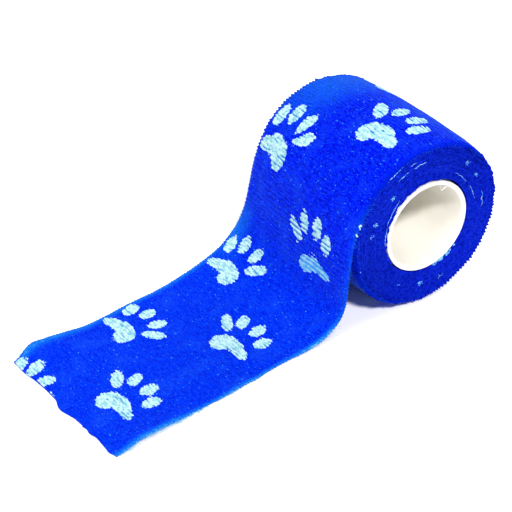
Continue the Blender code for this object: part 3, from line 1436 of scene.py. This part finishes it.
@dataclass
class EdgeThreads:
    """Pale threads that show between the turns' edges on the near end face."""

    course: StripCourse
    turns: WoundTurns
    finish: ThreadFinish
    name: str = "edge_threads"
    thread_radius: float = 0.11
    step: float = 0.12
    fewest: int = 6
    sides: int = 8
    first_seed: int = 60
    wander: Pair = (0.10, 0.9)
    dip: Pair = (0.09, 0.7)
    proud: float = 0.02
    thinnest: float = 0.02
    arcs: tuple[ThreadArc, ...] = (
        ThreadArc(24.0, 22.0, 35.0), ThreadArc(21.3, 4.0, 16.0), ThreadArc(21.4, 19.0, 30.0),
        ThreadArc(16.5, -33.0, -54.0, -0.4), ThreadArc(16.3, -62.0, -80.0, 0.3),
        ThreadArc(18.9, -75.0, -92.0, -0.3, 0.5, 2.0), ThreadArc(15.5, 38.0, 68.0, -0.5),
        ThreadArc(14.7, 70.0, 96.0, -0.3), ThreadArc(18.9, 64.5, 69.0, 0.2, 1.3, 1.0),
        ThreadArc(19.6, 74.5, 79.5, 0.5, -0.9, 1.5), ThreadArc(18.1, 38.0, 43.5, 0.6, 0.9, 1.5),
        ThreadArc(19.9, -37.5, -42.5, 0.4, 0.8, 1.5),
        ThreadArc(19.2, -55.0, -58.5, -0.2, 0.9, 1.0),
        ThreadArc(18.2, 171.0, 177.0, -0.3, 0.8, 1.5),
        ThreadArc(18.8, -161.0, -167.0, 0.5, 0.9, 1.5), ThreadArc(22.6, 12.0, 17.0),
    )

    def tube(self, arc: ThreadArc, seed: int) -> Array:
        """Tube along an arc: circles round a line that wanders in and out of the end face.

        Args:
            arc: Where the thread runs.
            seed: Chooses its wander.

        Returns:
            Points in mm, one closed loop for each section.
        """
        length = np.radians(abs(arc.end - arc.start)) * arc.radius
        count = max(int(length / self.step), self.fewest)
        share = np.linspace(0.0, 1.0, count)[:, None]
        wander, dip = (
            reach * lattice_noise(share * length / cell, row, seed)
            for row, (reach, cell) in enumerate((self.wander, self.dip))
        )
        fold = arc.fold * (1.0 - np.abs(2.0 * (share * arc.folds % 1.0) - 1.0))
        radius = arc.radius + arc.drift * share + fold + wander
        turn = FULL_TURN * np.arange(self.sides)[None, :] / self.sides
        turn = turn * np.sign(arc.end - arc.start)
        swell = np.sqrt(np.clip(4.0 * share * (1.0 - share), self.thinnest, 1.0))
        thin = self.thread_radius * swell
        x = self.turns.face_place(radius) + self.proud + dip + thin * np.sin(turn)
        angle = np.radians(arc.start + (arc.end - arc.start) * share)
        return self.course.round_axis(x, radius + thin * np.cos(turn), angle)

    def build(self) -> bpy.types.Object:
        """Makes every thread and joins them in one mesh."""
        tubes = [self.tube(arc, self.first_seed + k) * MM for k, arc in enumerate(self.arcs)]
        return closed_mesh(self.name, tubes, self.finish.material())


@dataclass(frozen=True)
class FuzzBand:
    """A stretch of one side edge: its ends along the strip, fibres for each mm and mean length.

    The last number is how pale the fibres are, from 0 to 1.
    """

    side: Side
    start: float
    end: float
    density: float
    length: float
    pale: float


@dataclass
class EdgeFuzz:
    """Fine fibres that stand out of the strip's side edges."""

    strip: OuterStrip
    finish: LintFinish
    fibre_radius: float = 0.032
    taper: float = 0.6
    lengths: Pair = (0.08, 1.8)
    sides: int = 3
    sections: int = 4
    root: float = 0.15
    root_spread: float = 0.35
    # Shares forward and up of the straight lean, and of the bend.
    leaning: Pair = (0.9, 0.45)
    bending: Pair = (0.8, 0.3)
    step: float = 0.1
    floor_gap: float = 0.03
    seed: int = 7
    bands: tuple[FuzzBand, ...] = (
        FuzzBand(Side.NEAR, -157.0, -2.0, 1.4, 0.22, 0.0),
        FuzzBand(Side.NEAR, -2.0, 38.0, 2.0, 0.25, 0.1),
        FuzzBand(Side.NEAR, 38.0, 82.0, 7.0, 0.40, 0.5),
        FuzzBand(Side.NEAR, 82.0, 109.0, 13.0, 0.75, 1.0),
        FuzzBand(Side.FAR, -157.0, 10.0, 2.5, 0.30, 0.1),
        FuzzBand(Side.FAR, 10.0, 109.0, 5.0, 0.35, 0.3),
    )

    def fibres(self, band: FuzzBand, random: np.random.Generator) -> Array:
        """Tapered curved tubes rooted in the edge: a straight lean plus a bend by the square.

        Args:
            band: Where the fibres grow.
            random: Draws their places, lengths and leans.

        Returns:
            Points in mm: fibre, section, side of the tube, and x, y, z.
        """
        course = self.strip.course
        count = int((band.end - band.start) * band.density)
        along = random.uniform(band.start, band.end, count)
        length = np.clip(random.exponential(band.length, count), *self.lengths)
        lean, rise, curl, lift = random.uniform(-1.0, 1.0, (4, count, 1))
        shift = self.strip.edge_shift(along, band.side)
        across = band.side.value * (course.half_width + shift - self.root)
        up = course.outward(along, across)
        ahead, behind = (course.point(along + step, across) for step in (self.step, -self.step))
        forward = unit(ahead - behind)
        out = np.cross(forward, up) * -band.side.value
        depth = self.strip.thickness(along)[:, None] * (0.5 + self.root_spread * rise)
        root = course.point(along, across) - up * depth

        way = out + self.leaning[0] * lean * forward + self.leaning[1] * rise * up
        bend = self.bending[0] * curl * forward + self.bending[1] * lift * up
        way, bend = way[:, None], bend[:, None]
        share = np.linspace(0.0, 1.0, self.sections)[None, :, None]
        reach = (length + self.root)[:, None, None]
        line = root[:, None] + reach * (share * way + share**2 * bend)
        run = unit(way + 2.0 * share * bend)
        first = unit(np.cross(run, up[:, None]))
        second = np.cross(first, run)
        turn = FULL_TURN * np.arange(self.sides)[:, None] / self.sides
        around = np.cos(turn) * first[:, :, None] + np.sin(turn) * second[:, :, None]
        radius = self.fibre_radius * (1.0 - self.taper * share)[..., None]
        return line[:, :, None] + radius * around

    def build(self) -> bpy.types.Object:
        """Grows the fibres of every band and joins them in one mesh.

        Returns:
            The finished mesh piece.
        """
        random = np.random.default_rng(self.seed)
        groups = [self.fibres(band, random) for band in self.bands]
        pale = [np.full(group[..., 0].size, band.pale) for group, band in zip(groups, self.bands)]
        bodies = np.concatenate(groups)
        bodies[..., 2] = np.maximum(bodies[..., 2], self.floor_gap)
        marks = {"pale": np.concatenate(pale)}
        return closed_mesh("edge_fuzz", list(bodies * MM), self.finish.material(), marks)


@dataclass
class CoreTube:
    """The plastic core: a plain turned tube with rounded rims."""

    course: StripCourse
    finish: PlasticFinish
    outer: float = 13.63
    wall: float = 1.35
    half_length: float = 25.0
    rim_rounds: Pair = (0.30, 0.80)
    steps: int = 192
    arc_steps: int = 6
    bore_steps: int = 12

    def outline(self) -> Array:
        """Closed outline (x, r): two straight walls joined by quarter rounds at both rims.

        The outer round is tight and the inner one wide.

        Returns:
            Points of the outline in mm.
        """
        outer_round, inner_round = self.rim_rounds
        arc = np.linspace(0.0, np.pi / 2.0, self.arc_steps + 1)
        sine, cosine = np.sin(arc), np.cos(arc)
        inner = self.outer - self.wall
        length = self.half_length - outer_round + outer_round * sine
        top = np.stack([length, self.outer - outer_round + outer_round * cosine], -1)
        length = self.half_length - inner_round + inner_round * cosine
        low = np.stack([length, inner + inner_round - inner_round * sine], -1)
        run = np.linspace(1.0, -1.0, self.bore_steps + 1)[1:-1] * (self.half_length - inner_round)
        inside = np.stack([run, np.full_like(run, inner)], -1)
        right = np.concatenate([top, low])
        left = right[::-1] * np.array([-1.0, 1.0])
        return np.concatenate([right, inside, left])

    def build(self) -> bpy.types.Object:
        """Turns the outline about the roll's axis, from the top towards +Y.

        Returns:
            The finished mesh piece.
        """
        angle = FULL_TURN * np.arange(self.steps)[:, None] / self.steps
        x, radius = self.outline().T[:, None, :]
        points = self.course.round_axis(x, radius, -angle)
        return closed_mesh("core_tube", [points * MM], self.finish.material(), capped=False)


# ---- studio


@dataclass(frozen=True)
class SoftLight:
    """A square area light: where it stands, what it looks at, its size and power."""

    name: str
    place: Triple
    aim: Triple
    size: float
    power: float

    def build(self) -> None:
        """Makes the light and turns it to its aim."""
        data = bpy.data.lights.new(self.name, "AREA")
        data.size, data.energy = self.size, self.power
        light = new_object(self.name, data)
        light.location = self.place
        way = Vector(self.aim) - Vector(self.place)
        light.rotation_euler = way.to_track_quat("-Z", "Y").to_euler()


@dataclass(frozen=True)
class Studio:
    """White paper floor, white surroundings, soft lights and the camera."""

    floor_half: float = 3.0
    white: Quad = (1.0, 1.0, 1.0, 1.0)
    surround: float = 0.16
    azimuth: float = 58.25
    elevation: float = 35.485
    roll: float = -2.684
    distance: float = 0.4024
    target: Triple = (-0.021296, -0.026457, 0.0)
    lens: float = 95.18
    sensor: float = 36.0
    nearest: float = 0.01
    lights: tuple[SoftLight, ...] = (
        SoftLight("key", (0.69, -0.22, 0.84), (0.0, -0.03, 0.02), 0.12, 13.5),
        SoftLight("back", (-0.35, 0.60, 0.45), (0.0, 0.0, 0.03), 0.3, 3.0),
        SoftLight("top", (-0.25, 0.0, 1.5), (0.0, 0.0, 0.0), 1.8, 15.0),
        SoftLight("front", (0.0, -1.0, 0.65), (0.0, -0.04, 0.02), 0.7, 6.6),
    )

    def floor(self) -> None:
        """Makes the paper floor, a wide flat square."""
        h = self.floor_half
        mesh = bpy.data.meshes.new("floor")
        mesh.from_pydata([(-h, -h, 0), (h, -h, 0), (h, h, 0), (-h, h, 0)], [], [(0, 1, 2, 3)])
        mesh.materials.append(FloorFinish().material())
        floor = new_object("floor", mesh)

    def world(self) -> None:
        """Makes the white surroundings."""
        world = bpy.data.worlds.new("white_surround")
        world.use_nodes = True
        background = world.node_tree.nodes["Background"]
        background.inputs["Color"].default_value = self.white
        background.inputs["Strength"].default_value = self.surround
        bpy.context.scene.world = world

    def camera(self) -> None:
        """Makes the camera: turned by azimuth, elevation and roll, then stepped back."""
        data = bpy.data.cameras.new("camera")
        data.lens, data.sensor_width, data.clip_start = self.lens, self.sensor, self.nearest
        camera = new_object("camera", data)
        turned = Matrix.Identity(4)
        for degrees, axis in ((self.azimuth, "Z"), (90.0 - self.elevation, "X"), (self.roll, "Z")):
            turned @= Matrix.Rotation(np.radians(degrees), 4, axis)
        back = Matrix.Translation((0.0, 0.0, self.distance))
        camera.matrix_world = Matrix.Translation(self.target) @ turned @ back
        bpy.context.scene.camera = camera

    def build(self) -> None:
        """Makes the floor, the surroundings, the lights and the camera."""
        self.floor()
        self.world()
        for light in self.lights:
            light.build()
        self.camera()
        bpy.context.scene.view_settings.view_transform = "Standard"


# ---- all of it


def report(piece: bpy.types.Object) -> None:
    """Reports a finished piece and its faces."""
    LOG.info("%s: %d faces", piece.name, len(piece.data.polygons))


def main() -> None:
    logging.basicConfig(level=logging.INFO, format="%(name)s: %(message)s")
    Studio().build()
    course = StripCourse()

    tube = CoreTube(course, PlasticFinish()).build()
    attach(tube, "root")
    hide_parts("core")
    report(tube)

    # A darker copy of the cloth for the end faces: partly the turns' own deeper blue, partly painted
    # shade between them.
    edges = BandageFinish(
        "wound_bandage_dark_and_shaded",
        grain=Grain.SPACE,
        deep=(0.0004, 0.0040, 0.255),
        bright=(0.003, 0.015, 0.47),
        lint=(0.012, 0.05, 0.62),
        ink=(0.18, 0.48, 0.72),
        ink_thin=(0.03, 0.28, 0.72),
        crack=(0.002, 0.05, 0.50),
        sheen=0.06,
    )
    turns = WoundTurns(course, edges)
    wound = turns.build()
    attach(wound, "root")
    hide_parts("wound_roll")
    turns.flat_size()
    report(wound)

    threads = EdgeThreads(course, turns, ThreadFinish()).build()
    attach(threads, "root")
    report(threads)

    # A small white V mark on the core's rim near its top, made as a short pale tube.
    white_v_mark = EdgeThreads(
        course,
        turns,
        ThreadFinish("white_v_finish", pale=(0.85, 0.85, 0.82), blue=(0.74, 0.75, 0.76)),
        name="core_white_v",
        thread_radius=0.10,
        arcs=(ThreadArc(12.8, -15.5, -30.0, -0.3, -1.7, 1.0),),
    ).build()
    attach(white_v_mark, "root")
    report(white_v_mark)

    strip = OuterStrip(course, PawPrint(), BandageFinish("printed_bandage"))
    outer = strip.build()
    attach(outer, "root")
    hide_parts("loose_end")
    strip.flat_size()
    report(outer)

    fuzz = EdgeFuzz(strip, LintFinish()).build()
    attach(fuzz, "root")
    report(fuzz)


if __name__ == "__main__":
    main()
